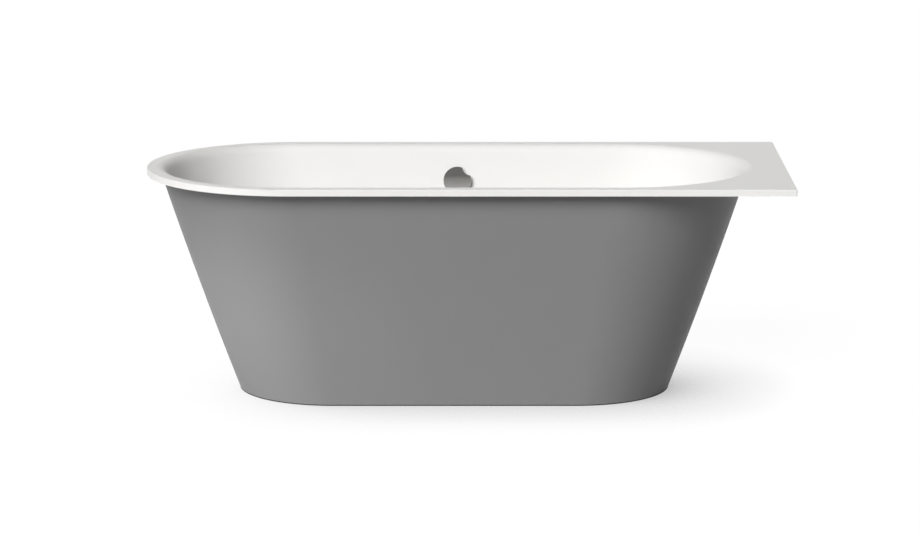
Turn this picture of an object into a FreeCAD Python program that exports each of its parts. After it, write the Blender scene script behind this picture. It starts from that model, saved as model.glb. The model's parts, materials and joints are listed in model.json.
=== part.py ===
import FreeCAD, Part
import math
import operator
import os
import types

import Sketcher
from FreeCAD import Placement, Rotation, Vector

# Peninsula bathtub of enamelled sheet steel with a tapered oval skirt, on levelling feet, with a
# knob-worked pop-up waste and overflow. Lengths are millimetres, angles degrees.
# X runs along the rim to the square end, Y to the back, Z up from the floor under the rim's middle.

SIZES = {
    # tub shell: flat rim with a turned-down lip, round at the left end and square at the right
    "rim_length": 1750,
    "rim_width": 800,
    "rim_height": 618,
    "lip_depth": 18,
    "shell_wall": 3,
    "rim_edge_radius": 2,
    "rim_corner_radius": 3,
    # basin: ledges are measured on the rim from its edge to the unrounded basin edge
    "ledge_left": 47,
    "ledge_right": 107,
    "ledge_side": 54,
    "basin_depth": 420,
    "basin_left_angle": 28,
    "basin_right_angle": 28.5,
    "basin_side_angle": 16.7,
    "basin_edge_radius": 30,
    "basin_floor_radius": 100,
    # places of the waste and the overflow
    "waste_x": -24,
    "drain_hole_radius": 26,
    "overflow_hole_radius": 26,
    "overflow_drop": 99.6,
    # apron skirt: overhangs are measured at its top edge, runs are how far its foot stands back
    "apron_wall": 2.5,
    "apron_tuck": 3,
    "apron_left_overhang": 38,
    "apron_right_overhang": 104,
    "apron_side_overhang": 31,
    "apron_left_run": 210,
    "apron_right_run": 209,
    "apron_side_run": 105,
    "apron_belly": 4,
    "floor_seal_height": 3,
    "floor_seal_width": 8,
    "floor_seal_recess": 0.5,
    # clips that hold the skirt's top edge under the rim
    "clip_count": 3,
    "clip_spacing": 300,
    "clip_width": 40,
    "clip_sheet": 2,
    "clip_depth": 14,
    "clip_reach": 20,
    "clip_gap": 0.4,
    # damping mats under the flat of the tub floor, between the waste and the rails
    "mat_thickness": 3,
    "mat_waste_gap": 31,
    "mat_rail_gap": 25,
    "mat_edge_gap": 35,
    # foot rails, bolted to studs welded under the tub floor
    "rail_inset": 30.5,
    "rail_overhang": 20,
    "rail_width": 40,
    "rail_height": 25,
    "rail_wall": 2.5,
    "rail_pad_length": 60,
    "rail_pad_thickness": 9,
    "weld_stud_radius": 4,
    "weld_stud_length": 23,
    "weld_stud_hole_radius": 4.5,
    "washer_radius": 9,
    "washer_thickness": 1.6,
    "rail_nut_across": 13,
    "rail_nut_height": 6.5,
    # levelling feet
    "foot_clearance": 14.5,
    "foot_stud_radius": 5,
    "foot_stud_rise": 17,
    "foot_stud_hole_radius": 5.5,
    "foot_nut_across": 17,
    "foot_nut_height": 8,
    "foot_collar_across": 14,
    "foot_collar_height": 8,
    "foot_pin_radius": 6,
    "foot_pad_radius": 26,
    "foot_pad_base": 6,
    "foot_pad_boss_radius": 11,
    "foot_pad_height": 23,
    # fits
    "running_gap": 0.05,
    "loose_gap": 0.3,
    # waste flange and its seals
    "waste_seal_thickness": 1.5,
    "waste_flange_radius": 36,
    "waste_flange_edge": 1,
    "waste_flange_thickness": 3,
    "waste_seat_radius": 30,
    "throat_radius": 24.5,
    "throat_wall": 3.5,
    "throat_depth": 28,
    "throat_web": 4,
    "guide_radius": 8,
    "guide_height": 8,
    "throat_port_radius": 5.5,
    "throat_port_circle": 14.5,
    "throat_port_count": 4,
    # plug
    "plug_radius": 31,
    "plug_edge": 2.5,
    "plug_dome": 1.5,
    "plug_flat": 2,
    "plug_seal_outer": 29,
    "plug_seal_inner": 22,
    "plug_seal_thickness": 1.2,
    "plug_lift": 10,
    "stem_radius": 4,
    # waste body under the tub floor
    "body_seal_thickness": 3,
    "body_radius": 34,
    "body_wall": 3.5,
    "body_collar_depth": 8,
    "body_depth": 72,
    "neck_bore": 20,
    "neck_radius": 26,
    "neck_length": 16.5,
    # bell crank that lifts the plug
    "crank_arm": 18,
    "crank_nose_radius": 3.5,
    "crank_hub_radius": 6,
    "crank_sheet": 6,
    "crank_hub_width": 8,
    "crank_drop": 60,
    "lift_gap": 0.4,
    "crank_pin_radius": 2.5,
    "cable_peg_radius": 1.2,
    # trap
    "trap_nut_radius": 32,
    "trap_nut_height": 18,
    "trap_nut_lip": 3.7,
    "trap_seal_thickness": 2,
    "trap_collar": 4,
    "trap_tube_wall": 3,
    "trap_tube_length": 7,
    "trap_radius": 46,
    "trap_wall": 3,
    "trap_depth": 62,
    "trap_dip_end": 4,
    "trap_cup_seal": 1.5,
    "trap_cup_height": 12.5,
    "trap_cup_spigot": 8.5,
    "outlet_radius": 25,
    "outlet_wall": 3,
    "outlet_reach": 150,
    "outlet_shoulder_radius": 27.5,
    "outlet_shoulder_reach": 66,
    "outlet_drop": 28.5,
    # overflow behind the back wall
    "overflow_flange_radius": 32,
    "overflow_flange_thickness": 3,
    "overflow_port_radius": 6,
    "overflow_port_circle": 17,
    "overflow_port_count": 4,
    "overflow_seal_thickness": 2.5,
    "overflow_cup_radius": 34,
    "overflow_cup_wall": 2.5,
    "overflow_cup_depth": 22,
    "overflow_bearing_radius": 8,
    "overflow_bearing_depth": 3.5,
    "overflow_screw_place": 19,
    "overflow_screw_radius": 2,
    "overflow_screw_head_radius": 4,
    "overflow_screw_head": 2.4,
    "overflow_screw_length": 18,
    "overflow_boss_radius": 4.8,
    # knob, spindle and cable reel
    "knob_radius": 39.5,
    "knob_height": 10,
    "knob_standoff": 7,
    "knob_dome": 2,
    "knob_flat": 2,
    "knob_edge_radius": 1.5,
    "knob_hub_radius": 8,
    "knob_notch_radius": 23,
    "knob_notch_depth": 9,
    "knob_notch_corner": 1.5,
    "knob_notch_angle": 45,
    "knob_turn_angle": 90,
    "spindle_radius": 3,
    "spindle_bite": 12,
    "reel_radius": 9,
    "reel_width": 7,
    "reel_groove": 3.4,
    # overflow pipe and the pull cable inside it
    "pipe_radius": 12,
    "pipe_wall": 1.5,
    "pipe_offset": 20.5,
    "pipe_bend_radius": 70,
    "pipe_drop": 42,
    "pipe_insert": 28,
    "socket_wall": 2.5,
    "upper_socket_start": 16,
    "lower_socket_start": 28,
    "upper_socket_end": 60,
    "lower_socket_end": 62,
    "socket_overlap": 4,
    "pipe_nut_wall": 1.7,
    "pipe_nut_height": 14,
    "cable_radius": 1.2,
    # extra length of cuts past the faces that they open
    "overrun": 4,
}

OPERATIONS = {"+": operator.add, "-": operator.sub, "*": operator.mul, "/": operator.truediv}


class Formula:
    """A number together with the spreadsheet formula that gives it."""

    def __init__(self, value, text):
        self.value = value
        self.text = text

    def __add__(self, other):
        return join(self, "+", other)

    def __radd__(self, other):
        return join(other, "+", self)

    def __sub__(self, other):
        return join(self, "-", other)

    def __rsub__(self, other):
        return join(other, "-", self)

    def __mul__(self, other):
        return join(self, "*", other)

    def __rmul__(self, other):
        return join(other, "*", self)

    def __truediv__(self, other):
        return join(self, "/", other)

    def __rtruediv__(self, other):
        return join(other, "/", self)

    def __neg__(self):
        return join(0, "-", self)


def formula(number):
    if isinstance(number, Formula):
        return number
    return Formula(float(number), repr(float(number)))


def join(left, sign, right):
    left = formula(left)
    right = formula(right)
    value = OPERATIONS[sign](left.value, right.value)
    return Formula(value, f"({left.text} {sign} {right.text})")


def sine(angle):
    return Formula(math.sin(math.radians(angle.value)), f"sin({angle.text})")


def cosine(angle):
    return Formula(math.cos(math.radians(angle.value)), f"cos({angle.text})")


def tangent(angle):
    return Formula(math.tan(math.radians(angle.value)), f"tan({angle.text})")


def arc_sine(ratio):
    return Formula(math.degrees(math.asin(ratio.value)), f"(asin({ratio.text}) / 1 deg)")


def root(number):
    return Formula(math.sqrt(number.value), f"sqrt({number.text})")


doc = FreeCAD.newDocument("bathtub")
sheet = doc.addObject("Spreadsheet::Sheet", "sizes")
for row, (alias, number) in enumerate(SIZES.items(), start=1):
    sheet.set(f"A{row}", alias)
    sheet.set(f"B{row}", str(number))
    sheet.setAlias(f"B{row}", alias)
doc.recompute()
size = types.SimpleNamespace(**{
    alias: Formula(float(sheet.get(alias)), f"sizes.{alias}") for alias in SIZES
})

subparts = []


# Document helpers

def bind(owner, path, number):
    """Ties a property to the sheet; a plain zero or count stays as it is."""
    if isinstance(number, Formula):
        owner.setExpression(path, number.text)


def place(owner, path, x=0, y=0, z=0, lean=None):
    """Puts an object, turned by lean degrees about X, where the sheet says."""
    turn = Rotation(Vector(1, 0, 0), lean.value) if lean else Rotation()
    spot = Vector(formula(x).value, formula(y).value, formula(z).value)
    setattr(owner, path, Placement(spot, turn))
    bind(owner, f"{path}.Base.x", x)
    bind(owner, f"{path}.Base.y", y)
    bind(owner, f"{path}.Base.z", z)
    if lean:
        bind(owner, f"{path}.Rotation.Angle", lean)


def new_body(name, x=0, y=0, z=0, lean=None):
    body = doc.addObject("PartDesign::Body", name)
    body.Label = name
    body.AllowCompound = True
    place(body, "Placement", x, y, z, lean)
    subparts.append(body)
    return body


def origin_item(body, role):
    return next(item for item in body.Origin.OriginFeatures if item.Role == role)


def new_sketch(body, role, x=0, y=0, z=0, lean=None):
    sketch = body.newObject("Sketcher::SketchObject", "sketch")
    sketch.AttachmentSupport = [(origin_item(body, role), "")]
    sketch.MapMode = "FlatFace"
    place(sketch, "AttachmentOffset", x, y, z, lean)
    return sketch


# Sketch helpers

def point(x, y):
    return Vector(formula(x).value, formula(y).value, 0)


def fix(sketch, kind, places, number):
    index = sketch.addConstraint(Sketcher.Constraint(kind, *places, formula(number).value))
    bind(sketch, f"Constraints[{index}]", number)


def fix_point(sketch, item, end, x, y):
    fix(sketch, "DistanceX", (-1, 1, item, end), x)
    fix(sketch, "DistanceY", (-1, 1, item, end), y)


def circle_about(x, y, radius):
    return Part.Circle(point(x, y), Vector(0, 0, 1), radius)


def draw_circle(sketch, x, y, radius):
    item = sketch.addGeometry(circle_about(x, y, radius.value))
    fix_point(sketch, item, 3, x, y)
    fix(sketch, "Radius", (item,), radius)


def join_ends(sketch, loop):
    for item, following in zip(loop, loop[1:] + loop[:1]):
        sketch.addConstraint(Sketcher.Constraint("Coincident", item, 2, following, 1))


def draw_polygon(sketch, corners):
    loop = []
    for corner, following in zip(corners, corners[1:] + corners[:1]):
        loop.append(sketch.addGeometry(Part.LineSegment(point(*corner), point(*following))))
    join_ends(sketch, loop)
    for item, corner in zip(loop, corners):
        fix_point(sketch, item, 1, *corner)


def draw_domed(sketch, corners):
    """A closed outline whose first side, from edge to top, is an arc that is level at the top."""
    edge, top = (point(*corner) for corner in corners[:2])
    rise = top.y - edge.y
    across = edge.x - top.x
    radius = (across ** 2 + rise ** 2) / (2 * rise)
    circle = circle_about(top.x, top.y - radius, radius)
    start = math.asin(across / radius)
    loop = [sketch.addGeometry(Part.ArcOfCircle(circle, math.pi / 2 - start, math.pi / 2))]
    for corner, following in zip(corners[1:], corners[2:] + corners[:1]):
        loop.append(sketch.addGeometry(Part.LineSegment(point(*corner), point(*following))))
    join_ends(sketch, loop)
    for item, corner in zip(loop, corners):
        fix_point(sketch, item, 1, *corner)
    fix(sketch, "DistanceX", (-1, 1, loop[0], 3), corners[1][0])


def draw_rectangle(sketch, left, right, bottom, top):
    draw_polygon(sketch, [(left, bottom), (right, bottom), (right, top), (left, top)])


def draw_hexagon(sketch, across):
    radius = across / math.sqrt(3)
    angles = [math.radians(60 * step) for step in range(6)]
    draw_polygon(sketch, [(radius * math.cos(a), radius * math.sin(a)) for a in angles])


def draw_oval(sketch, left, right, half, square_end=False):
    """Two straight sides with half-round ends, or with a square right end."""
    near = left + half
    far = right if square_end else right - half
    quarter = math.pi / 2
    front = sketch.addGeometry(Part.LineSegment(point(near, -half), point(far, -half)))
    if square_end:
        end = sketch.addGeometry(Part.LineSegment(point(far, -half), point(far, half)))
    else:
        arc = Part.ArcOfCircle(circle_about(far, 0, half.value), -quarter, quarter)
        end = sketch.addGeometry(arc)
    back = sketch.addGeometry(Part.LineSegment(point(far, half), point(near, half)))
    arc = Part.ArcOfCircle(circle_about(near, 0, half.value), quarter, 3 * quarter)
    head = sketch.addGeometry(arc)
    join_ends(sketch, [front, end, back, head])
    fix_point(sketch, front, 1, near, -half)
    fix_point(sketch, front, 2, far, -half)
    fix_point(sketch, back, 1, far, half)
    fix_point(sketch, back, 2, near, half)
    fix(sketch, "DistanceX", (-1, 1, head, 3), near)
    if not square_end:
        fix(sketch, "DistanceX", (-1, 1, end, 3), far)


# Feature helpers

def pad(body, sketch, length, middle=False, reverse=False):
    feature = body.newObject("PartDesign::Pad", "pad")
    feature.Profile = sketch
    feature.SideType = "Symmetric" if middle else "One side"
    feature.Reversed = reverse
    bind(feature, "Length", length)
    doc.recompute()
    return feature


def pocket(body, sketch, length, middle=False, reverse=False):
    before = body.Shape.Volume
    feature = body.newObject("PartDesign::Pocket", "pocket")
    feature.Profile = sketch
    feature.SideType = "Symmetric" if middle else "One side"
    feature.Reversed = reverse
    bind(feature, "Length", length)
    doc.recompute()
    if feature.Shape.Volume >= before:
        raise RuntimeError(f"{body.Label}: a pocket cuts nothing")
    return feature


def turn(body, corners, domed=False):
    """Revolves an outline of (radius, height) corners about Z; a domed one has its first side round."""
    sketch = new_sketch(body, "XZ_Plane")
    draw = draw_domed if domed else draw_polygon
    draw(sketch, corners)
    feature = body.newObject("PartDesign::Revolution", "turned")
    feature.Profile = sketch
    feature.ReferenceAxis = (sketch, ["V_Axis"])
    feature.Angle = 360
    doc.recompute()
    return feature


def loft(body, kind, sketches, ruled):
    feature = body.newObject(kind, "loft")
    feature.Profile = sketches[0]
    feature.Sections = sketches[1:]
    feature.Ruled = ruled
    doc.recompute()
    return feature


def fillet(body, edges, radius):
    base = body.Tip
    feature = body.newObject("PartDesign::Fillet", "fillet")
    feature.Base = (base, edges)
    bind(feature, "Radius", radius)
    doc.recompute()
    return feature


# Places that several sub-parts share

half_length = size.rim_length / 2
half_width = size.rim_width / 2
plate_under = size.rim_height - size.shell_wall
floor_top = size.rim_height - size.basin_depth
floor_under = floor_top - size.shell_wall
rail_top = floor_under - size.rail_pad_thickness

overflow_lean = 90 - size.basin_side_angle
overflow_y = half_width - size.ledge_side - size.overflow_drop * tangent(size.basin_side_angle)
overflow_z = size.rim_height - size.overflow_drop

plug_seat = size.waste_seal_thickness + size.waste_flange_thickness
plug_under = plug_seat + size.loose_gap + size.plug_seal_thickness
body_top = -(size.shell_wall + size.body_seal_thickness)
bowl_floor = body_top - size.body_depth
neck_end = bowl_floor - size.body_wall - size.neck_length
trap_collar_top = neck_end - size.trap_seal_thickness
trap_collar_end = trap_collar_top - size.trap_collar
trap_top = trap_collar_end - size.trap_tube_length
trap_end = trap_top - size.trap_depth
trap_collar_radius = size.neck_radius - size.loose_gap
trap_tube_radius = size.neck_bore + size.trap_tube_wall

cup_top = -(size.shell_wall + size.overflow_seal_thickness)
cup_back = cup_top - size.overflow_cup_depth
cup_floor = cup_back + size.overflow_cup_wall
bearing_end = cup_back - size.overflow_bearing_depth
spindle_bore = size.spindle_radius + size.running_gap
knob_hub_end = size.overflow_flange_thickness + size.loose_gap

pipe_bore = size.pipe_radius + size.running_gap
socket_radius = pipe_bore + size.socket_wall
pull_radius = size.plug_lift / (size.knob_turn_angle * (math.pi / 180))
crank_rest = arc_sine(size.plug_lift / (2 * size.crank_arm))


def on_back_wall(up, into):
    """Y and Z of a spot so far up the back wall from the overflow and so far into the basin."""
    lean = size.basin_side_angle
    y = overflow_y + up * sine(lean) - into * cosine(lean)
    z = overflow_z + up * cosine(lean) + into * sine(lean)
    return y, z


# Tub shell

def basin_outline(depth, wall):
    left = -half_length + size.ledge_left + depth * tangent(size.basin_left_angle)
    right = half_length - size.ledge_right - depth * tangent(size.basin_right_angle)
    half = half_width - size.ledge_side - depth * tangent(size.basin_side_angle)
    left_wall = wall / cosine(size.basin_left_angle)
    right_wall = wall / cosine(size.basin_right_angle)
    side_wall = wall / cosine(size.basin_side_angle)
    return left - left_wall, right + right_wall, half + side_wall


def basin_sketches(body, depth, wall):
    sketches = []
    for level in (formula(0), depth):
        sketch = new_sketch(body, "XY_Plane", z=size.rim_height - level)
        draw_oval(sketch, *basin_outline(level, wall))
        sketches.append(sketch)
    return sketches


SAME_PLACE = 1e-3


def edge_names(body, wanted):
    edges = body.Tip.Shape.Edges
    return [f"Edge{number}" for number, edge in enumerate(edges, start=1) if wanted(edge)]


def is_level(edge, height):
    box = edge.BoundBox
    return max(abs(box.ZMin - height.value), abs(box.ZMax - height.value)) < SAME_PLACE


def is_basin_edge(edge, height):
    box = edge.BoundBox
    inside = box.YMax < (half_width - size.ledge_side / 2).value
    short_of_end = box.XMax < (half_length - size.ledge_right / 2).value
    return inside and short_of_end and is_level(edge, height)


def is_upright(edge):
    box = edge.BoundBox
    return box.XLength + box.YLength < SAME_PLACE


def tub_shell():
    body = new_body("tub_shell")
    lip_end = size.rim_height - size.lip_depth
    sketch = new_sketch(body, "XY_Plane", z=lip_end)
    draw_oval(sketch, -half_length, half_length, half_width, square_end=True)
    pad(body, sketch, size.lip_depth)
    corners = edge_names(body, lambda edge: is_upright(edge) and edge.BoundBox.XMax > 0)
    fillet(body, corners, size.rim_corner_radius)
    outline = edge_names(body, lambda edge: is_level(edge, size.rim_height))
    fillet(body, outline, size.rim_edge_radius)
    sketch = new_sketch(body, "XY_Plane", z=lip_end)
    inner_end = half_length - size.shell_wall
    draw_oval(sketch, -inner_end, inner_end, half_width - size.shell_wall, square_end=True)
    pocket(body, sketch, size.lip_depth - size.shell_wall, reverse=True)

    outer = basin_sketches(body, size.basin_depth + size.shell_wall, size.shell_wall)
    loft(body, "PartDesign::AdditiveLoft", outer, ruled=True)
    under_rim = edge_names(body, lambda edge: is_basin_edge(edge, plate_under))
    fillet(body, under_rim, size.basin_edge_radius - size.shell_wall)
    loft(body, "PartDesign::SubtractiveLoft", basin_sketches(body, size.basin_depth, formula(0)), ruled=True)
    floor_edges = edge_names(body, lambda edge: is_level(edge, floor_top))
    fillet(body, floor_edges, size.basin_floor_radius)
    floor_edges = edge_names(body, lambda edge: is_level(edge, floor_under))
    fillet(body, floor_edges, size.basin_floor_radius + size.shell_wall)
    rim_edges = edge_names(body, lambda edge: is_basin_edge(edge, size.rim_height))
    fillet(body, rim_edges, size.basin_edge_radius)

    sketch = new_sketch(body, "XY_Plane", size.waste_x, 0, floor_top)
    draw_circle(sketch, 0, 0, size.drain_hole_radius)
    pocket(body, sketch, 2 * (size.shell_wall + size.overrun), middle=True)
    sketch = new_sketch(body, "XY_Plane", size.waste_x, overflow_y, overflow_z, overflow_lean)
    draw_circle(sketch, 0, 0, size.overflow_hole_radius)
    pocket(body, sketch, 2 * (size.shell_wall + size.overrun), middle=True)


# Apron skirt, its floor seal and its clips

APRON_HEIGHT_SHARES = (0, 0.5, 1)


def apron_outline(share, inset):
    belly = size.apron_belly * (4 * share * (1 - share))
    left = half_length - size.apron_left_overhang - size.apron_left_run * (1 - share) + belly
    right = half_length - size.apron_right_overhang - size.apron_right_run * (1 - share) + belly
    half = half_width - size.apron_side_overhang - size.apron_side_run * (1 - share) + belly
    return inset - left, right - inset, half - inset


def apron_sketches(body, inset):
    bottom = size.floor_seal_height
    top = size.rim_height - size.lip_depth + size.apron_tuck
    sketches = []
    for share in APRON_HEIGHT_SHARES:
        sketch = new_sketch(body, "XY_Plane", z=bottom + (top - bottom) * share)
        draw_oval(sketch, *apron_outline(share, inset))
        sketches.append(sketch)
    return sketches


def apron_skirt():
    body = new_body("apron_skirt")
    loft(body, "PartDesign::AdditiveLoft", apron_sketches(body, formula(0)), ruled=False)
    loft(body, "PartDesign::SubtractiveLoft", apron_sketches(body, size.apron_wall), ruled=False)


def floor_seal():
    body = new_body("floor_seal")
    sketch = new_sketch(body, "XY_Plane")
    draw_oval(sketch, *apron_outline(0, size.floor_seal_recess))
    draw_oval(sketch, *apron_outline(0, size.floor_seal_recess + size.floor_seal_width))
    pad(body, sketch, size.floor_seal_height)


def row_along(body, feature, axis, length, count):
    pattern = body.newObject("PartDesign::LinearPattern", "row")
    pattern.Originals = [feature]
    pattern.Direction = (origin_item(body, axis), [""])
    bind(pattern, "Length", length)
    bind(pattern, "Occurrences", count)
    body.Tip = pattern
    doc.recompute()
    return pattern


def apron_clips(name, side):
    span = size.clip_spacing * (size.clip_count - 1)
    body = new_body(name, x=size.waste_x - span / 2)
    near = half_width - size.apron_side_overhang + size.clip_gap
    leg = near + size.clip_sheet
    tip = near + size.clip_reach
    low = plate_under - size.clip_depth
    web = plate_under - size.clip_sheet
    sketch = new_sketch(body, "YZ_Plane")
    draw_polygon(sketch, [
        (side * near, low), (side * leg, low), (side * leg, web),
        (side * tip, web), (side * tip, plate_under), (side * near, plate_under),
    ])
    clip = pad(body, sketch, size.clip_width, middle=True)
    row_along(body, clip, "X_Axis", span, size.clip_count)


# Places under the tub, which follow the skirt's foot and the flat of the basin floor

WELD_STUD_SHARE = 0.62

skirt_left, skirt_right, skirt_half = apron_outline(0, formula(0))
rail_middle = (skirt_left + skirt_right) / 2
rail_reach = (skirt_right - skirt_left) / 2 - skirt_half - size.rail_inset
seal_room = skirt_half - size.floor_seal_recess - size.floor_seal_width
foot_reach = seal_room - size.foot_clearance - size.foot_pad_radius
floor_half = basin_outline(size.basin_depth, formula(0))[2]
flat_half = floor_half - size.basin_floor_radius * tangent((90 - size.basin_side_angle) / 2)
weld_stud_reach = flat_half * WELD_STUD_SHARE


def rail_x(side):
    return rail_middle + side * rail_reach


def damping_mat(name, side):
    body = new_body(name, z=floor_under - size.mat_thickness)
    waste_end = size.waste_x + side * (size.body_radius + size.mat_waste_gap)
    rail_end = rail_x(side) - side * (size.rail_width / 2 + size.mat_rail_gap)
    half = flat_half - size.mat_edge_gap
    sketch = new_sketch(body, "XY_Plane")
    draw_rectangle(sketch, waste_end, rail_end, -half, half)
    pad(body, sketch, size.mat_thickness)


# Foot rails and what bolts them to the tub

def foot_rail(name, side):
    body = new_body(name, x=rail_x(side), z=rail_top)
    half = size.rail_width / 2
    inner = half - size.rail_wall
    low = -size.rail_height
    web = -size.rail_wall
    sketch = new_sketch(body, "XZ_Plane")
    draw_polygon(sketch, [
        (-half, low), (-inner, low), (-inner, web), (inner, web),
        (inner, low), (half, low), (half, 0), (-half, 0),
    ])
    pad(body, sketch, 2 * (foot_reach + size.rail_overhang), middle=True)
    sketch = new_sketch(body, "XY_Plane")
    for end in (-1, 1):
        draw_circle(sketch, 0, end * foot_reach, size.foot_stud_hole_radius)
        draw_circle(sketch, 0, end * weld_stud_reach, size.weld_stud_hole_radius)
    pocket(body, sketch, size.rail_wall + size.overrun)


def four_on_rails(name, draw, bottom, thickness, reach):
    """One piece at each of the four places that two spots on each rail give."""
    body = new_body(name, rail_x(-1), -reach, bottom)
    sketch = new_sketch(body, "XY_Plane")
    draw(sketch)
    piece = pad(body, sketch, thickness)
    pattern = row_along(body, piece, "X_Axis", 2 * rail_reach, formula(2))
    pattern.Direction2 = (origin_item(body, "Y_Axis"), [""])
    pattern.Occurrences2 = 2
    bind(pattern, "Length2", 2 * reach)
    doc.recompute()


def draw_rail_pad(sketch):
    half_pad = size.rail_pad_length / 2
    draw_rectangle(sketch, -size.rail_width / 2, size.rail_width / 2, -half_pad, half_pad)
    draw_circle(sketch, 0, 0, size.weld_stud_hole_radius)


def draw_weld_stud(sketch):
    draw_circle(sketch, 0, 0, size.weld_stud_radius)


def draw_washer(sketch):
    draw_circle(sketch, 0, 0, size.washer_radius)
    draw_circle(sketch, 0, 0, size.weld_stud_hole_radius)


def draw_rail_nut(sketch):
    draw_hexagon(sketch, size.rail_nut_across)
    draw_circle(sketch, 0, 0, size.weld_stud_radius + size.running_gap)


def draw_foot_nut(sketch):
    draw_hexagon(sketch, size.foot_nut_across)
    draw_circle(sketch, 0, 0, size.foot_stud_radius + size.running_gap)


def rail_fasteners():
    web_under = rail_top - size.rail_wall
    washer_under = web_under - size.washer_thickness
    nut_under = washer_under - size.rail_nut_height
    stud_end = floor_under - size.weld_stud_length
    four_on_rails("rail_pads", draw_rail_pad, rail_top, size.rail_pad_thickness, weld_stud_reach)
    four_on_rails("weld_studs", draw_weld_stud, stud_end, size.weld_stud_length, weld_stud_reach)
    four_on_rails("rail_washers", draw_washer, washer_under, size.washer_thickness, weld_stud_reach)
    four_on_rails("rail_nuts", draw_rail_nut, nut_under, size.rail_nut_height, weld_stud_reach)


# Levelling feet

FEET = {"front_left": (-1, -1), "front_right": (1, -1), "back_left": (-1, 1), "back_right": (1, 1)}


def foot_nuts():
    weld_nut_under = rail_top - size.rail_wall - size.foot_nut_height
    lock_nut_under = weld_nut_under - size.foot_nut_height
    four_on_rails("foot_weld_nuts", draw_foot_nut, weld_nut_under, size.foot_nut_height, foot_reach)
    four_on_rails("foot_lock_nuts", draw_foot_nut, lock_nut_under, size.foot_nut_height, foot_reach)


def foot(corner, along, across):
    x = rail_x(along)
    y = across * foot_reach
    bore = size.foot_pin_radius + size.running_gap
    base = size.foot_pad_base
    height = size.foot_pad_height
    boss = size.foot_pad_boss_radius
    body = new_body(f"foot_pad_{corner}", x, y)
    turn(body, [
        (0, 0), (size.foot_pad_radius, 0), (size.foot_pad_radius, base / 2), (boss, base),
        (boss, height), (bore, height), (bore, base), (0, base),
    ])
    collar = height + size.loose_gap
    top = rail_top + size.foot_stud_rise
    body = new_body(f"foot_stud_{corner}", x, y)
    turn(body, [
        (0, base + size.loose_gap), (size.foot_pin_radius, base + size.loose_gap),
        (size.foot_pin_radius, collar), (size.foot_stud_radius, collar),
        (size.foot_stud_radius, top), (0, top),
    ])
    sketch = new_sketch(body, "XY_Plane", z=collar)
    draw_hexagon(sketch, size.foot_collar_across)
    pad(body, sketch, size.foot_collar_height)


# Pop-up waste, drawn about the drain hole with the basin floor at zero

def waste_item(name):
    return new_body(name, size.waste_x, 0, floor_top)


def ring(body, inner, outer, bottom, thickness):
    sketch = new_sketch(body, "XY_Plane", z=bottom)
    draw_circle(sketch, 0, 0, outer)
    draw_circle(sketch, 0, 0, inner)
    pad(body, sketch, thickness)


def draw_ports(sketch, radius, circle, count, first_angle):
    ports = round(count.value)
    for port in range(ports):
        angle = math.radians(first_angle + 360 * port / ports)
        draw_circle(sketch, circle * math.cos(angle), circle * math.sin(angle), radius)


def waste_flange():
    body = waste_item("waste_flange")
    under = size.waste_seal_thickness
    inner = size.throat_radius - size.throat_wall
    end = -size.throat_depth
    web_top = end + size.throat_web
    guide_top = web_top + size.guide_height
    bore = size.stem_radius + size.running_gap
    turn(body, [
        (inner, plug_seat), (size.waste_seat_radius, plug_seat),
        (size.waste_flange_radius, under + size.waste_flange_edge), (size.waste_flange_radius, under),
        (size.throat_radius, under), (size.throat_radius, end), (bore, end), (bore, guide_top),
        (size.guide_radius, guide_top), (size.guide_radius, web_top), (inner, web_top),
    ])
    sketch = new_sketch(body, "XY_Plane", z=web_top)
    draw_ports(sketch, size.throat_port_radius, size.throat_port_circle, size.throat_port_count, 0)
    pocket(body, sketch, size.throat_web + size.overrun)


STEM_TIP_SHARE = 0.9


def plug():
    body = waste_item("waste_plug")
    edge = plug_under + size.plug_edge
    turn(body, [
        (size.plug_radius, edge), (size.plug_flat, edge + size.plug_dome), (0, edge + size.plug_dome),
        (0, plug_under), (size.plug_radius, plug_under),
    ], domed=True)
    body = waste_item("plug_seal")
    seal_under = plug_seat + size.loose_gap
    ring(body, size.plug_seal_inner, size.plug_seal_outer, seal_under, size.plug_seal_thickness)
    body = waste_item("plug_stem")
    nose_top = -size.crank_drop - size.plug_lift / 2 + size.crank_nose_radius
    stem_end = nose_top + size.lift_gap
    sketch = new_sketch(body, "XY_Plane", z=stem_end)
    draw_circle(sketch, 0, 0, size.stem_radius)
    pad(body, sketch, plug_under - stem_end)
    tip = edge_names(body, lambda edge: is_level(edge, stem_end))
    fillet(body, tip, size.stem_radius * STEM_TIP_SHARE)


def waste_seals():
    body = waste_item("flange_seal")
    bore = size.throat_radius + size.loose_gap
    ring(body, bore, size.waste_flange_radius, formula(0), size.waste_seal_thickness)
    body = waste_item("waste_body_seal")
    ring(body, size.drain_hole_radius, size.body_radius, body_top, size.body_seal_thickness)


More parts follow.
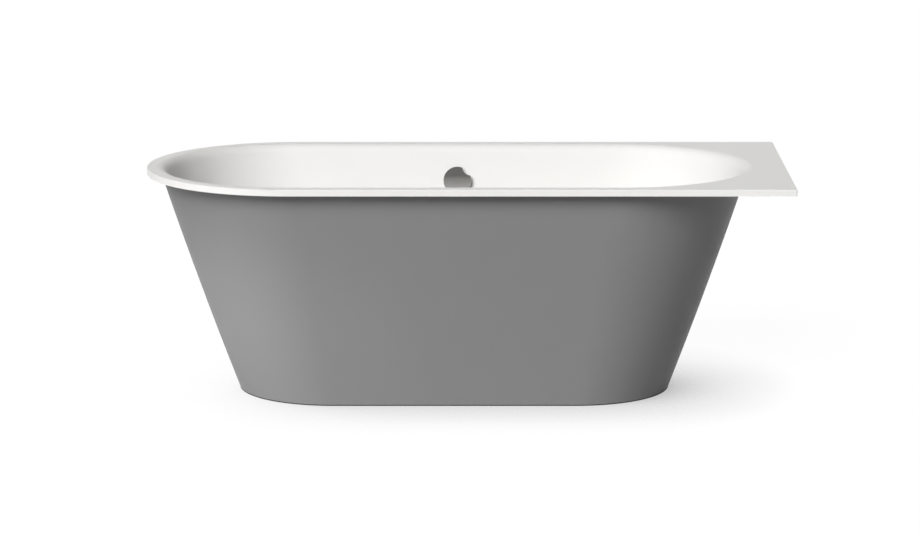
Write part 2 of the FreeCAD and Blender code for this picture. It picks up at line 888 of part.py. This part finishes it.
def waste_body():
    body = waste_item("waste_body")
    collar = size.throat_radius + size.loose_gap
    collar_end = body_top - size.body_collar_depth
    bowl = size.body_radius - size.body_wall
    bowl_under = bowl_floor - size.body_wall
    turn(body, [
        (collar, body_top), (size.body_radius, body_top), (size.body_radius, bowl_under),
        (size.neck_radius, bowl_under), (size.neck_radius, neck_end), (size.neck_bore, neck_end),
        (size.neck_bore, bowl_floor), (bowl, bowl_floor), (bowl, collar_end), (collar, collar_end),
    ])
    socket_length = size.lower_socket_end - size.lower_socket_start
    sketch = new_sketch(body, "XZ_Plane", z=-size.lower_socket_start)
    draw_circle(sketch, 0, -size.pipe_drop, socket_radius)
    pad(body, sketch, socket_length, reverse=True)
    sketch = new_sketch(body, "XZ_Plane", z=-size.lower_socket_end)
    draw_circle(sketch, 0, -size.pipe_drop, pipe_bore)
    pocket(body, sketch, socket_length + size.body_wall + size.overrun, reverse=True)
    sketch = new_sketch(body, "YZ_Plane")
    draw_circle(sketch, size.crank_arm, -size.crank_drop, size.crank_pin_radius + size.running_gap)
    pocket(body, sketch, 2 * (size.body_radius + size.overrun), middle=True)


def lift_crank():
    body = new_body("lift_crank", size.waste_x, size.crank_arm, floor_top - size.crank_drop, crank_rest)
    nose = size.crank_nose_radius
    sketch = new_sketch(body, "YZ_Plane")
    draw_oval(sketch, -size.crank_arm - nose, nose, nose)
    pad(body, sketch, size.crank_sheet, middle=True)
    sketch = new_sketch(body, "YZ_Plane")
    draw_rectangle(sketch, -nose, nose, 0, size.crank_arm + nose)
    pad(body, sketch, size.crank_sheet, middle=True)
    sketch = new_sketch(body, "YZ_Plane")
    draw_circle(sketch, 0, 0, size.crank_hub_radius)
    pad(body, sketch, size.crank_hub_width, middle=True)
    sketch = new_sketch(body, "YZ_Plane")
    draw_circle(sketch, 0, size.crank_arm, size.cable_peg_radius)
    pad(body, sketch, pull_radius - size.cable_radius - size.loose_gap)
    sketch = new_sketch(body, "YZ_Plane")
    draw_circle(sketch, 0, 0, size.crank_pin_radius + size.running_gap)
    pocket(body, sketch, size.crank_hub_width + size.overrun, middle=True)

    body = new_body("crank_pin", size.waste_x, size.crank_arm, floor_top - size.crank_drop)
    sketch = new_sketch(body, "YZ_Plane")
    draw_circle(sketch, 0, 0, size.crank_pin_radius)
    reach = root(size.body_radius * size.body_radius - size.crank_arm * size.crank_arm)
    pad(body, sketch, 2 * reach, middle=True)


# Trap under the waste body

def trap_joint():
    body = waste_item("trap_seal")
    ring(body, size.neck_bore, trap_collar_radius, trap_collar_top, size.trap_seal_thickness)
    body = waste_item("trap_nut")
    bore = size.neck_radius + size.loose_gap
    lip_bore = trap_tube_radius + size.loose_gap
    lip_top = trap_collar_end - size.loose_gap
    low = lip_top - size.trap_nut_lip
    top = low + size.trap_nut_height
    turn(body, [
        (bore, top), (size.trap_nut_radius, top), (size.trap_nut_radius, low),
        (lip_bore, low), (lip_bore, lip_top), (bore, lip_top),
    ])


def trap_body():
    body = waste_item("trap_body")
    inner = size.trap_radius - size.trap_wall
    roof = trap_top - size.trap_wall
    dip = trap_end + size.trap_dip_end
    turn(body, [
        (size.neck_bore, trap_collar_top), (trap_collar_radius, trap_collar_top),
        (trap_collar_radius, trap_collar_end), (trap_tube_radius, trap_collar_end),
        (trap_tube_radius, trap_top), (size.trap_radius, trap_top), (size.trap_radius, trap_end),
        (inner, trap_end), (inner, roof), (trap_tube_radius, roof), (trap_tube_radius, dip),
        (size.neck_bore, dip),
    ])
    shoulder = size.outlet_shoulder_radius
    start = root(inner * inner - shoulder * shoulder)
    shoulder_end = size.outlet_shoulder_reach
    level = trap_top - size.outlet_drop
    spigot = size.outlet_radius
    for radius, near, far in ((shoulder, start, shoulder_end), (spigot, shoulder_end, size.outlet_reach)):
        sketch = new_sketch(body, "YZ_Plane", z=near)
        draw_circle(sketch, 0, level, radius)
        pad(body, sketch, far - near)
    sketch = new_sketch(body, "XY_Plane", z=trap_end)
    draw_circle(sketch, 0, 0, inner)
    draw_circle(sketch, 0, 0, trap_tube_radius)
    pocket(body, sketch, size.trap_depth - size.trap_wall, reverse=True)
    sketch = new_sketch(body, "YZ_Plane", z=size.outlet_reach)
    draw_circle(sketch, 0, level, spigot - size.outlet_wall)
    pocket(body, sketch, size.outlet_reach - start + size.overrun)


def trap_cup():
    inner = size.trap_radius - size.trap_wall
    spigot = inner - size.loose_gap
    top = trap_end - size.trap_cup_seal
    spigot_top = top + size.trap_cup_spigot
    low = top - size.trap_cup_height
    body = waste_item("trap_cup_seal")
    ring(body, inner, size.trap_radius, top, size.trap_cup_seal)
    body = waste_item("trap_cup")
    turn(body, [
        (0, low), (size.trap_radius, low), (size.trap_radius, top), (spigot, top), (spigot, spigot_top),
        (spigot - size.trap_wall, spigot_top), (spigot - size.trap_wall, low + size.trap_wall),
        (0, low + size.trap_wall),
    ])


# Overflow and knob, drawn about the overflow hole with the back wall's inner face at zero

def overflow_item(name, x=0):
    return new_body(name, size.waste_x + x, overflow_y, overflow_z, overflow_lean)


def draw_screw_circles(sketch, radius):
    for side in (-1, 1):
        draw_circle(sketch, side * size.overflow_screw_place, 0, radius)


def overflow_flange():
    body = overflow_item("overflow_flange")
    sketch = new_sketch(body, "XY_Plane")
    draw_circle(sketch, 0, 0, size.overflow_flange_radius)
    draw_circle(sketch, 0, 0, spindle_bore)
    draw_ports(sketch, size.overflow_port_radius, size.overflow_port_circle, size.overflow_port_count, 45)
    draw_screw_circles(sketch, size.overflow_screw_radius + size.loose_gap)
    pad(body, sketch, size.overflow_flange_thickness)
    body = overflow_item("overflow_seal")
    ring(body, size.overflow_hole_radius, size.overflow_cup_radius, cup_top, size.overflow_seal_thickness)


def overflow_body():
    body = overflow_item("overflow_body")
    turn(body, [
        (0, bearing_end), (size.overflow_bearing_radius, bearing_end),
        (size.overflow_bearing_radius, cup_back), (size.overflow_cup_radius, cup_back),
        (size.overflow_cup_radius, cup_top), (0, cup_top),
    ])
    socket_length = size.upper_socket_end - size.upper_socket_start
    sketch = new_sketch(body, "XZ_Plane", z=size.upper_socket_start)
    draw_circle(sketch, 0, -size.pipe_offset, socket_radius)
    pad(body, sketch, socket_length)
    sketch = new_sketch(body, "XY_Plane", z=cup_top)
    draw_circle(sketch, 0, 0, size.overflow_cup_radius - size.overflow_cup_wall)
    pocket(body, sketch, cup_top - cup_floor)
    sketch = new_sketch(body, "XZ_Plane", z=size.upper_socket_end)
    draw_circle(sketch, 0, -size.pipe_offset, pipe_bore)
    pocket(body, sketch, socket_length - size.socket_wall)
    sketch = new_sketch(body, "XY_Plane", z=cup_floor)
    draw_screw_circles(sketch, size.overflow_boss_radius)
    pad(body, sketch, cup_top - cup_floor)
    sketch = new_sketch(body, "XY_Plane", z=cup_top)
    draw_screw_circles(sketch, size.overflow_screw_radius + size.running_gap)
    pocket(body, sketch, size.overflow_screw_length)
    sketch = new_sketch(body, "XY_Plane", z=cup_floor)
    draw_circle(sketch, 0, 0, spindle_bore)
    pocket(body, sketch, size.overflow_bearing_depth)


def overflow_screws():
    body = overflow_item("overflow_screws", -size.overflow_screw_place)
    seat = size.overflow_flange_thickness
    head = seat + size.overflow_screw_head
    end = seat - size.overflow_screw_length
    screw = turn(body, [
        (0, head), (0, end), (size.overflow_screw_radius, end), (size.overflow_screw_radius, seat),
        (size.overflow_screw_head_radius, seat), (size.overflow_screw_head_radius, head),
    ])
    row_along(body, screw, "X_Axis", 2 * size.overflow_screw_place, formula(2))


def overflow_knob():
    body = overflow_item("overflow_knob")
    edge = size.knob_standoff + size.knob_height
    bore_end = knob_hub_end + size.spindle_bite
    turn(body, [
        (size.knob_radius, edge), (size.knob_flat, edge + size.knob_dome), (0, edge + size.knob_dome),
        (0, bore_end), (spindle_bore, bore_end), (spindle_bore, knob_hub_end),
        (size.knob_hub_radius, knob_hub_end),
        (size.knob_hub_radius, size.knob_standoff), (size.knob_radius, size.knob_standoff),
    ], domed=True)
    fillet(body, edge_names(body, lambda item: is_level(item, edge)), size.knob_edge_radius)
    notch_place = size.knob_radius - size.knob_notch_depth + size.knob_notch_radius
    notch_x = notch_place * cosine(size.knob_notch_angle)
    notch_y = notch_place * sine(size.knob_notch_angle)
    sketch = new_sketch(body, "XY_Plane")
    draw_circle(sketch, notch_x, notch_y, size.knob_notch_radius)
    pocket(body, sketch, 2 * (edge + size.knob_dome + size.overrun), middle=True)
    fillet(body, edge_names(body, is_upright), size.knob_notch_corner)

    body = overflow_item("knob_spindle")
    start = cup_floor - size.overflow_bearing_depth + size.loose_gap
    sketch = new_sketch(body, "XY_Plane", z=start)
    draw_circle(sketch, 0, 0, size.spindle_radius)
    pad(body, sketch, bore_end - size.loose_gap - start)


def cable_reel():
    body = overflow_item("cable_reel")
    low = -size.pipe_offset - size.reel_width / 2
    high = -size.pipe_offset + size.reel_width / 2
    groove_low = -size.pipe_offset - size.reel_groove / 2
    groove_high = -size.pipe_offset + size.reel_groove / 2
    core = pull_radius - size.cable_radius - size.loose_gap
    turn(body, [
        (spindle_bore, low), (size.reel_radius, low), (size.reel_radius, groove_low), (core, groove_low),
        (core, groove_high), (size.reel_radius, groove_high), (size.reel_radius, high), (spindle_bore, high),
    ])


# Overflow pipe down the back wall to the waste body, and the pull cable inside it

def draw_pipe_route(sketch, low_y, top_up):
    """A level run under the tub, one bend, and a run up along the back wall."""
    lean = size.basin_side_angle
    level = floor_top - size.pipe_drop
    axis_y, axis_z = on_back_wall(formula(0), -size.pipe_offset)
    corner_y = axis_y - (axis_z - level) * tangent(lean)
    setback = size.pipe_bend_radius * tangent((90 - lean) / 2)
    bend_y = corner_y - setback
    rise = (corner_y + setback * sine(lean), level + setback * cosine(lean))
    top = on_back_wall(top_up, -size.pipe_offset)
    run = sketch.addGeometry(Part.LineSegment(point(low_y, level), point(bend_y, level)))
    circle = circle_about(bend_y, level + size.pipe_bend_radius, size.pipe_bend_radius.value)
    bend = sketch.addGeometry(Part.ArcOfCircle(circle, -math.pi / 2, -math.radians(lean.value)))
    climb = sketch.addGeometry(Part.LineSegment(point(*rise), point(*top)))
    sketch.addConstraint(Sketcher.Constraint("Coincident", run, 2, bend, 1))
    sketch.addConstraint(Sketcher.Constraint("Coincident", bend, 2, climb, 1))
    fix_point(sketch, run, 1, low_y, level)
    fix_point(sketch, run, 2, bend_y, level)
    fix_point(sketch, climb, 1, *rise)
    fix_point(sketch, climb, 2, *top)
    fix(sketch, "DistanceX", (-1, 1, bend, 3), bend_y)


def swept(body, low_y, top_up, radii):
    route = new_sketch(body, "YZ_Plane")
    draw_pipe_route(route, low_y, top_up)
    profile = new_sketch(body, "XZ_Plane", z=-low_y)
    for radius in radii:
        draw_circle(profile, 0, floor_top - size.pipe_drop, radius)
    feature = body.newObject("PartDesign::AdditivePipe", "pipe")
    feature.Profile = profile
    feature.Spine = (route, [])
    doc.recompute()


def overflow_pipe():
    body = new_body("overflow_pipe", x=size.waste_x)
    low_y = size.lower_socket_end - size.pipe_insert
    top_up = size.pipe_insert - size.upper_socket_end
    swept(body, low_y, top_up, [size.pipe_radius, size.pipe_radius - size.pipe_wall])
    body = new_body("pull_cable", x=size.waste_x + pull_radius)
    swept(body, size.crank_arm - size.plug_lift / 2, formula(0), [size.cable_radius])


def pipe_nut(name, y, z, lean):
    body = new_body(name, size.waste_x, y, z, lean)
    recess = socket_radius + size.loose_gap
    bore = size.pipe_radius + size.loose_gap
    outer = recess + size.pipe_nut_wall
    step = -size.socket_overlap - size.loose_gap
    low = -size.pipe_nut_height
    turn(body, [(recess, 0), (outer, 0), (outer, low), (bore, low), (bore, step), (recess, step)])


def pipe_nuts():
    upper = on_back_wall(size.socket_overlap - size.upper_socket_end, -size.pipe_offset)
    pipe_nut("upper_pipe_nut", *upper, -size.basin_side_angle)
    lower_y = size.lower_socket_end - size.socket_overlap
    pipe_nut("lower_pipe_nut", lower_y, floor_top - size.pipe_drop, formula(90))


# The whole bathtub

tub_shell()
apron_skirt()
floor_seal()
apron_clips("apron_clips_front", -1)
apron_clips("apron_clips_back", 1)
damping_mat("damping_mat_left", -1)
damping_mat("damping_mat_right", 1)
foot_rail("foot_rail_left", -1)
foot_rail("foot_rail_right", 1)
rail_fasteners()
foot_nuts()
for corner, (along, across) in FEET.items():
    foot(corner, along, across)
waste_flange()
plug()
waste_seals()
waste_body()
lift_crank()
trap_joint()
trap_body()
trap_cup()
overflow_flange()
overflow_body()
overflow_screws()
overflow_knob()
cable_reel()
overflow_pipe()
pipe_nuts()
doc.recompute()

for item in doc.Objects:
    if "Invalid" in item.State or "Error" in item.State:
        raise RuntimeError(f"{item.Label} failed: {item.State}")
for body in subparts:
    if body.Shape.isNull() or not body.Shape.isValid() or not body.Shape.Solids:
        raise RuntimeError(f"{body.Label} has no valid shape")

os.makedirs("parts", exist_ok=True)
for body in subparts:
    solids = body.Shape.Solids
    shape = solids[0] if len(solids) == 1 else body.Shape
    shape.exportStep(f"parts/{body.Label}.step")
    print(f"{body.Label}: {len(solids)} solid(s), {body.Shape.Volume:.0f} cubic mm")
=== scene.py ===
import json
import math

import bpy
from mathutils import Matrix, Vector

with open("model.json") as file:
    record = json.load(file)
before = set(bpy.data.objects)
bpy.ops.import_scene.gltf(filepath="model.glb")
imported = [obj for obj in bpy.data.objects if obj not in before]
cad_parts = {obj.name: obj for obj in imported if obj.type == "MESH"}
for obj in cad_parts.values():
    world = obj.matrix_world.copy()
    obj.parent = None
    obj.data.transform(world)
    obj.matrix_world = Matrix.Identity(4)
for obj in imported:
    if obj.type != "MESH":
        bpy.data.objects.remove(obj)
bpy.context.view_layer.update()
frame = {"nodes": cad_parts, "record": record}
nodes = frame["nodes"]
scene = bpy.context.scene


# Shader helpers

WHITE = (1, 1, 1, 1)
EVEN = (1, 1, 1)
NOISE_DETAIL = 3.0
# The span that most of a noise texture stays in
NOISE_LOW = 0.3
NOISE_HIGH = 0.7


def new_shader(name):
    material = bpy.data.materials.new(name)
    material.use_nodes = True
    tree = material.node_tree
    return material, tree, tree.nodes["Principled BSDF"]


def texture(tree, kind, scale, stretch=EVEN):
    """A solid texture in the part's own frame."""
    place = tree.nodes.new("ShaderNodeTexCoord")
    mapping = tree.nodes.new("ShaderNodeMapping")
    mapping.inputs["Scale"].default_value = stretch
    tree.links.new(place.outputs["Object"], mapping.inputs["Vector"])
    node = tree.nodes.new(kind)
    tree.links.new(mapping.outputs["Vector"], node.inputs["Vector"])
    node.inputs["Scale"].default_value = scale
    return node


def noise(tree, scale, stretch=EVEN):
    node = texture(tree, "ShaderNodeTexNoise", scale, stretch)
    node.inputs["Detail"].default_value = NOISE_DETAIL
    return node.outputs["Fac"]


def cells(tree, scale):
    return texture(tree, "ShaderNodeTexVoronoi", scale).outputs["Color"]


def vary_colour(tree, shader, factor, first, second):
    mix = tree.nodes.new("ShaderNodeMix")
    mix.data_type = "RGBA"
    tree.links.new(factor, mix.inputs["Factor"])
    mix.inputs["A"].default_value = (*first, 1)
    mix.inputs["B"].default_value = (*second, 1)
    tree.links.new(mix.outputs["Result"], shader.inputs["Base Color"])


def vary_roughness(tree, shader, factor, low, high):
    spread = tree.nodes.new("ShaderNodeMapRange")
    spread.inputs["From Min"].default_value = NOISE_LOW
    spread.inputs["From Max"].default_value = NOISE_HIGH
    spread.inputs["To Min"].default_value = low
    spread.inputs["To Max"].default_value = high
    tree.links.new(factor, spread.inputs["Value"])
    tree.links.new(spread.outputs["Result"], shader.inputs["Roughness"])


def add_bump(tree, shader, height, strength, depth):
    bump = tree.nodes.new("ShaderNodeBump")
    bump.inputs["Strength"].default_value = strength
    bump.inputs["Distance"].default_value = depth
    tree.links.new(height, bump.inputs["Height"])
    tree.links.new(bump.outputs["Normal"], shader.inputs["Normal"])


# Finishes: mottle, smears, grain, spangle and streaks are the scales of their patterns

MOULDED_MOTTLE = 30
MOULDED_SMEARS = 50
MOULDED_BUMP = 0.15
MOULDED_DEPTH = 0.0002
BRUSHED_STREAKS = 400
BRUSHED_BUMP = 0.1
BRUSHED_DEPTH = 0.0001


def enamel(name, colours, mottle, roughness, smears, grain, bump, depth, specular):
    material, tree, shader = new_shader(name)
    shader.inputs["Specular IOR Level"].default_value = specular
    vary_colour(tree, shader, noise(tree, mottle), *colours)
    vary_roughness(tree, shader, noise(tree, smears), *roughness)
    add_bump(tree, shader, noise(tree, grain), bump, depth)
    return material


def plated(name, colours, mottle, roughness, smears):
    material, tree, shader = new_shader(name)
    shader.inputs["Metallic"].default_value = 1
    vary_colour(tree, shader, noise(tree, mottle), *colours)
    vary_roughness(tree, shader, noise(tree, smears), *roughness)
    return material


def galvanised(name, colours, spangle, roughness, smears):
    material, tree, shader = new_shader(name)
    shader.inputs["Metallic"].default_value = 1
    vary_colour(tree, shader, cells(tree, spangle), *colours)
    vary_roughness(tree, shader, noise(tree, smears), *roughness)
    return material


def brushed(name, colours, roughness, stretch):
    material, tree, shader = new_shader(name)
    shader.inputs["Metallic"].default_value = 1
    streaks = noise(tree, BRUSHED_STREAKS, stretch)
    vary_colour(tree, shader, streaks, *colours)
    vary_roughness(tree, shader, streaks, *roughness)
    add_bump(tree, shader, streaks, BRUSHED_BUMP, BRUSHED_DEPTH)
    return material


def moulded(name, colours, roughness, grain):
    material, tree, shader = new_shader(name)
    vary_colour(tree, shader, noise(tree, MOULDED_MOTTLE), *colours)
    vary_roughness(tree, shader, noise(tree, MOULDED_SMEARS), *roughness)
    add_bump(tree, shader, noise(tree, grain), MOULDED_BUMP, MOULDED_DEPTH)
    return material


# One finish for each material slot of the record

FINISHES = {
    "white_enamel": (enamel, {
        "colours": ((0.876, 0.868, 0.850), (0.892, 0.884, 0.868)), "mottle": 2.5,
        "roughness": (0.42, 0.48), "smears": 6,
        "grain": 90, "bump": 0.06, "depth": 0.0003, "specular": 0.12,
    }),
    "grey_enamel": (enamel, {
        "colours": ((0.240, 0.240, 0.241), (0.255, 0.255, 0.256)), "mottle": 3,
        "roughness": (0.44, 0.52), "smears": 8,
        "grain": 900, "bump": 0.05, "depth": 0.0001, "specular": 0.04,
    }),
    "chrome": (plated, {
        "colours": ((0.60, 0.59, 0.56), (0.64, 0.63, 0.60)), "mottle": 40,
        "roughness": (0.06, 0.10), "smears": 20,
    }),
    "seal_rubber": (moulded, {
        "colours": ((0.020, 0.020, 0.021), (0.034, 0.034, 0.035)), "roughness": (0.62, 0.80), "grain": 700,
    }),
    "damping_mat": (moulded, {
        "colours": ((0.028, 0.027, 0.026), (0.060, 0.057, 0.053)), "roughness": (0.75, 0.92), "grain": 160,
    }),
    "zinc_steel": (galvanised, {
        "colours": ((0.50, 0.51, 0.53), (0.64, 0.65, 0.66)), "spangle": 160,
        "roughness": (0.30, 0.46), "smears": 60,
    }),
    "foot_plastic": (moulded, {
        "colours": ((0.022, 0.022, 0.024), (0.034, 0.034, 0.036)), "roughness": (0.42, 0.56), "grain": 900,
    }),
    "white_plastic": (moulded, {
        "colours": ((0.70, 0.70, 0.68), (0.76, 0.76, 0.74)), "roughness": (0.34, 0.46), "grain": 600,
    }),
    "brass": (brushed, {
        "colours": ((0.62, 0.45, 0.19), (0.74, 0.57, 0.29)),
        "roughness": (0.22, 0.36), "stretch": (1, 0.1, 1),
    }),
    "stainless": (brushed, {
        "colours": ((0.54, 0.54, 0.54), (0.66, 0.66, 0.66)),
        "roughness": (0.24, 0.38), "stretch": (0.1, 1, 1),
    }),
    "cable_sheath": (moulded, {
        "colours": ((0.030, 0.030, 0.031), (0.045, 0.045, 0.046)), "roughness": (0.45, 0.60), "grain": 800,
    }),
}
materials = {slot: make(slot, **settings) for slot, (make, settings) in FINISHES.items()}
for subpart in frame["record"]["subparts"]:
    mesh = nodes[subpart["node"]].data
    mesh.materials.clear()
    mesh.materials.append(materials[subpart["material_slot"]])


# Node helpers for the floor and the room

def math_node(tree, operation, *values):
    """A math node; each value is a number or another node's output."""
    node = tree.nodes.new("ShaderNodeMath")
    node.operation = operation
    for socket, value in zip(node.inputs, values):
        if isinstance(value, (int, float)):
            socket.default_value = value
        else:
            tree.links.new(value, socket)
    return node.outputs[0]


def background_rays(tree):
    """Two switches: 1 for rays straight from the camera, 1 for reflected and passed-on rays."""
    rays = tree.nodes.new("ShaderNodeLightPath").outputs
    reflected = math_node(tree, "MAXIMUM", rays["Is Glossy Ray"], rays["Is Transmission Ray"])
    return rays["Is Camera Ray"], reflected


# Floor: white for the camera and in reflections, with the part's shadow on it: a faint real shadow from
# the lamps and a painted shadow that dims the white lift near the part

FLOOR_HALF = 30.0
FLOOR_COLOUR = (0.62, 0.62, 0.62)
FLOOR_SEEN_COLOUR = (0.06, 0.06, 0.06)
FLOOR_LIFT = 0.972
# Painted shadow around the part: its reach in metres, fall-off power, depth share, samples and the
# direction it leans to
PAINTED_SHADOW_REACH = 0.36
PAINTED_SHADOW_POWER = 1.8
PAINTED_SHADOW_SHARE = 0.70
PAINTED_SHADOW_SAMPLES = 4
PAINTED_SHADOW_LEAN = (-0.75, 0.25, 1)


def make_floor():
    half = FLOOR_HALF
    corners = [(-half, -half, 0), (half, -half, 0), (half, half, 0), (-half, half, 0)]
    mesh = bpy.data.meshes.new("floor")
    mesh.from_pydata(corners, [], [range(len(corners))])
    floor = bpy.data.objects.new("floor", mesh)
    scene.collection.objects.link(floor)
    material, tree, shader = new_shader("floor")
    shader.inputs["Roughness"].default_value = 1
    shader.inputs["Specular IOR Level"].default_value = 0
    shader.inputs["Emission Color"].default_value = WHITE
    seen, reflected = background_rays(tree)
    vary_colour(tree, shader, seen, FLOOR_COLOUR, FLOOR_SEEN_COLOUR)
    # Painted shadow: the white lift fades close to the part, most on its right and in front of it, by how
    # much of the part covers each point
    painted_shadow = tree.nodes.new("ShaderNodeAmbientOcclusion")
    painted_shadow.samples = PAINTED_SHADOW_SAMPLES
    painted_shadow.inputs["Distance"].default_value = PAINTED_SHADOW_REACH
    lean = tree.nodes.new("ShaderNodeCombineXYZ")
    for socket, value in zip(lean.inputs, Vector(PAINTED_SHADOW_LEAN).normalized()):
        socket.default_value = value
    tree.links.new(lean.outputs["Vector"], painted_shadow.inputs["Normal"])
    covered = math_node(tree, "SUBTRACT", 1, painted_shadow.outputs["AO"])
    shade = math_node(tree, "POWER", covered, PAINTED_SHADOW_POWER)
    lift = math_node(tree, "MULTIPLY_ADD", shade, -PAINTED_SHADOW_SHARE * FLOOR_LIFT, FLOOR_LIFT)
    shown = math_node(tree, "MULTIPLY", math_node(tree, "MAXIMUM", seen, reflected), lift)
    tree.links.new(shown, shader.inputs["Emission Strength"])
    mesh.materials.append(material)


# Light: a key from the left front, a fill from behind, a low lamp at the round end and a white backdrop

# The room on the camera's side, as reflections see it: (height of the direction, brightness)
ROOM = ((0.30, 0.57), (0.43, 0.32), (0.455, 0.215))
BACKDROP_START = 0.1
BACKDROP_END = 0.6

SUN_DISTANCE = 6.0
SUNS = {
    # name: (degrees to the left of the camera, degrees of rise, degrees of width, strength)
    "key": (25, 37, 36, 3.2),
    "back_fill": (180, 11, 10, 1.1),
}
# The lamp's place, aim and width are in metres, its spread in degrees
LAMP_PLACE = (-2.0, -1.3, 0.25)
LAMP_AIM = (-0.62, -0.20, 0.20)
LAMP_WIDTH = 0.5
LAMP_SPREAD = 30
LAMP_WATTS = 0.52


def make_world():
    world = bpy.data.worlds.new("studio")
    scene.world = world
    world.use_nodes = True
    tree = world.node_tree
    background = tree.nodes["Background"]
    background.inputs["Color"].default_value = WHITE
    # Reflections see the backdrop behind the part and the dim room on the other sides
    direction = tree.nodes.new("ShaderNodeSeparateXYZ")
    tree.links.new(tree.nodes.new("ShaderNodeTexCoord").outputs["Generated"], direction.inputs["Vector"])
    room = tree.nodes.new("ShaderNodeValToRGB")
    tree.links.new(direction.outputs["Z"], room.inputs["Fac"])
    stops = room.color_ramp.elements
    for _ in ROOM[len(stops):]:
        stops.new(1)
    for stop, (height, brightness) in zip(stops, ROOM):
        stop.position = height
        stop.color = (brightness, brightness, brightness, 1)
    mirrored = tree.nodes.new("ShaderNodeMapRange")
    mirrored.interpolation_type = "SMOOTHSTEP"
    mirrored.inputs["From Min"].default_value = BACKDROP_START
    mirrored.inputs["From Max"].default_value = BACKDROP_END
    mirrored.inputs["To Max"].default_value = 1
    tree.links.new(direction.outputs["Y"], mirrored.inputs["Value"])
    tree.links.new(room.outputs["Color"], mirrored.inputs["To Min"])
    seen, reflected = background_rays(tree)
    reflection = math_node(tree, "MULTIPLY", reflected, mirrored.outputs["Result"])
    tree.links.new(math_node(tree, "MAXIMUM", seen, reflection), background.inputs["Strength"])


def add_light(name, lamp, place, away):
    light = bpy.data.objects.new(name, lamp)
    light.visible_camera = False
    scene.collection.objects.link(light)
    light.location = place
    light.rotation_euler = away.to_track_quat("Z", "Y").to_euler()
    return light


def make_lights():
    for name, (degrees_left, degrees_up, width, strength) in SUNS.items():
        around = math.radians(degrees_left)
        rise = math.radians(degrees_up)
        level = math.cos(rise)
        away = Vector((-math.sin(around) * level, -math.cos(around) * level, math.sin(rise)))
        sun = bpy.data.lights.new(name, "SUN")
        sun.angle = math.radians(width)
        sun.energy = strength
        # Bright metal mirrors the room, not the suns
        add_light(name, sun, away * SUN_DISTANCE, away).visible_glossy = False
    lamp = bpy.data.lights.new("side", "AREA")
    lamp.shape = "DISK"
    lamp.size = LAMP_WIDTH
    lamp.energy = LAMP_WATTS
    lamp.spread = math.radians(LAMP_SPREAD)
    add_light("side", lamp, LAMP_PLACE, Vector(LAMP_PLACE) - Vector(LAMP_AIM))


# Camera, set where the photograph was taken from, and tilted down from level

CAMERA_PLACE = (-0.01655, -9.987, 2.2845)
CAMERA_PITCH = 11.093
LEVEL_TILT = 90
SENSOR_WIDTH = 36.0
FOCAL_PIXELS = 3683.7
IMAGE_WIDTH = 920


def make_camera():
    lens = bpy.data.cameras.new("camera")
    lens.sensor_width = SENSOR_WIDTH
    lens.lens = FOCAL_PIXELS * SENSOR_WIDTH / IMAGE_WIDTH
    camera = bpy.data.objects.new("camera", lens)
    scene.collection.objects.link(camera)
    camera.location = CAMERA_PLACE
    camera.rotation_euler = (math.radians(LEVEL_TILT - CAMERA_PITCH), 0, 0)
    scene.camera = camera


make_floor()
make_world()
make_lights()
make_camera()
scene.view_settings.view_transform = "Standard"
